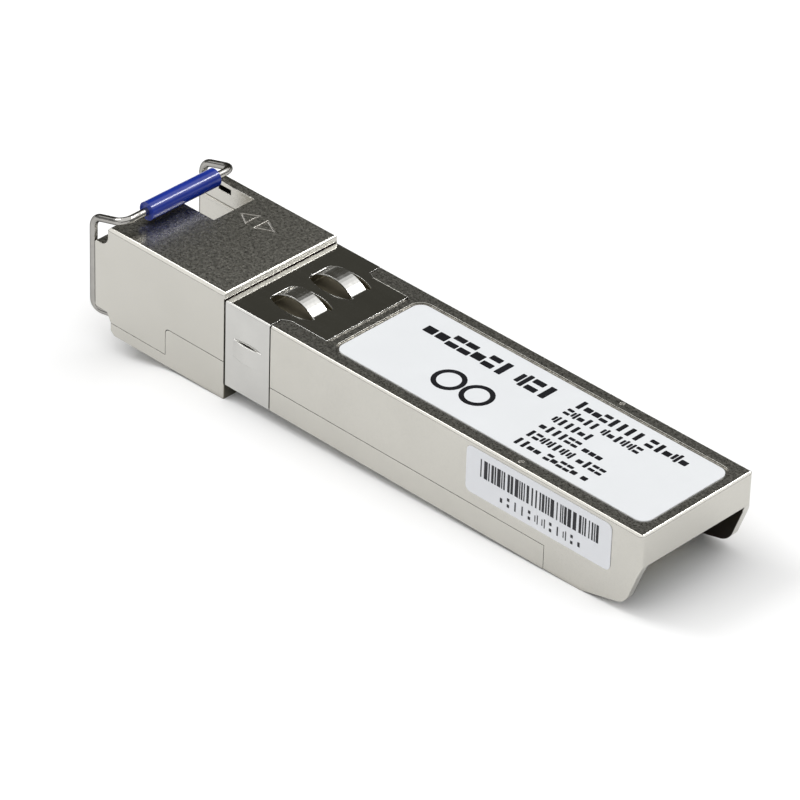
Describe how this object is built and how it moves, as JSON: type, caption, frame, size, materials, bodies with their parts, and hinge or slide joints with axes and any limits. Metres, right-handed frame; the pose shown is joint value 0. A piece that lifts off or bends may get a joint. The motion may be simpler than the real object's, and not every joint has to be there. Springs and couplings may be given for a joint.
{
  "type": "optical transceiver module",
  "caption": "Small pluggable optical transceiver with a metal housing, a fibre port under a notched head, a card edge at the rear and a wire bail that frees its latch.",
  "frame": {"origin": "under the middle of the whole module, level with the lowest edge of its head", "axes": "+X from the fibre port to the card edge, +Z towards the main label, +Y towards the side the port is offset to"},
  "size_m": [0.0642, 0.014, 0.0128],
  "materials": {
    "shell_plating": "nickel-plated die casting, satin",
    "collar_sheet": "bright spring steel sheet",
    "bail_steel": "polished wire",
    "grip_blue": "satin blue sleeve",
    "latch_steel": "plain",
    "spring_steel": "plain",
    "barrel_steel": "turned",
    "zirconia": "ground",
    "filter_glass": "coated",
    "can_gold": "gold plated",
    "flex_film": "polyimide film",
    "board_laminate": "solder mask",
    "contact_gold": "hard gold",
    "chip_mould": "moulded",
    "capacitor_ceramic": "fired",
    "resistor_body": "fired",
    "ferrite": "fired",
    "gap_filler": "soft pad",
    "absorber": "soft sheet",
    "label_paper": "printed film",
    "side_label_paper": "printed film"
  },
  "bodies": {
    "housing": {"top_cover": "shell_plating", "base_chassis": "shell_plating", "stake_pins": "shell_plating", "emi_collar": "collar_sheet", "rocker_pin": "latch_steel", "rocker_spring": "spring_steel", "receptacle_barrel": "barrel_steel", "split_sleeve": "zirconia", "fibre_stub": "zirconia", "diplexer_body": "barrel_steel", "wavelength_filter": "filter_glass", "laser_can": "can_gold", "photodiode_can": "can_gold", "laser_flex": "flex_film", "photodiode_flex": "flex_film", "receptacle_clamp": "latch_steel", "circuit_board": "board_laminate", "upper_contacts": "contact_gold", "lower_contacts": "contact_gold", "driver_chip": "chip_mould", "amplifier_chip": "chip_mould", "memory_chip": "chip_mould", "chip_capacitors": "capacitor_ceramic", "chip_resistors": "resistor_body", "ferrite_beads": "ferrite", "thermal_pad": "gap_filler", "absorber_pad": "absorber", "main_label": "label_paper", "side_label": "side_label_paper"},
    "bail": {"bail_wire": "bail_steel", "bail_sleeve": "grip_blue", "bail_cam": "latch_steel"},
    "latch": {"latch_rocker": "latch_steel"}
  },
  "joints": [
    {"name": "bail_swing", "type": "hinge", "parent": "housing", "child": "bail", "pos_m": [-0.0289, 0, 0.0015], "axis": [0, -1, 0], "range_deg": [0, 90]},
    {"name": "latch_rock", "type": "hinge", "parent": "housing", "child": "latch", "pos_m": [-0.0244, 0, 0.00115], "axis": [0, -1, 0], "range_deg": [0, 2.6], "deforming": ["rocker_spring"]}
  ],
  "couplings": [
    {"joint": "latch_rock", "follows": "bail_swing", "ratio": 0.0285}
  ]
}
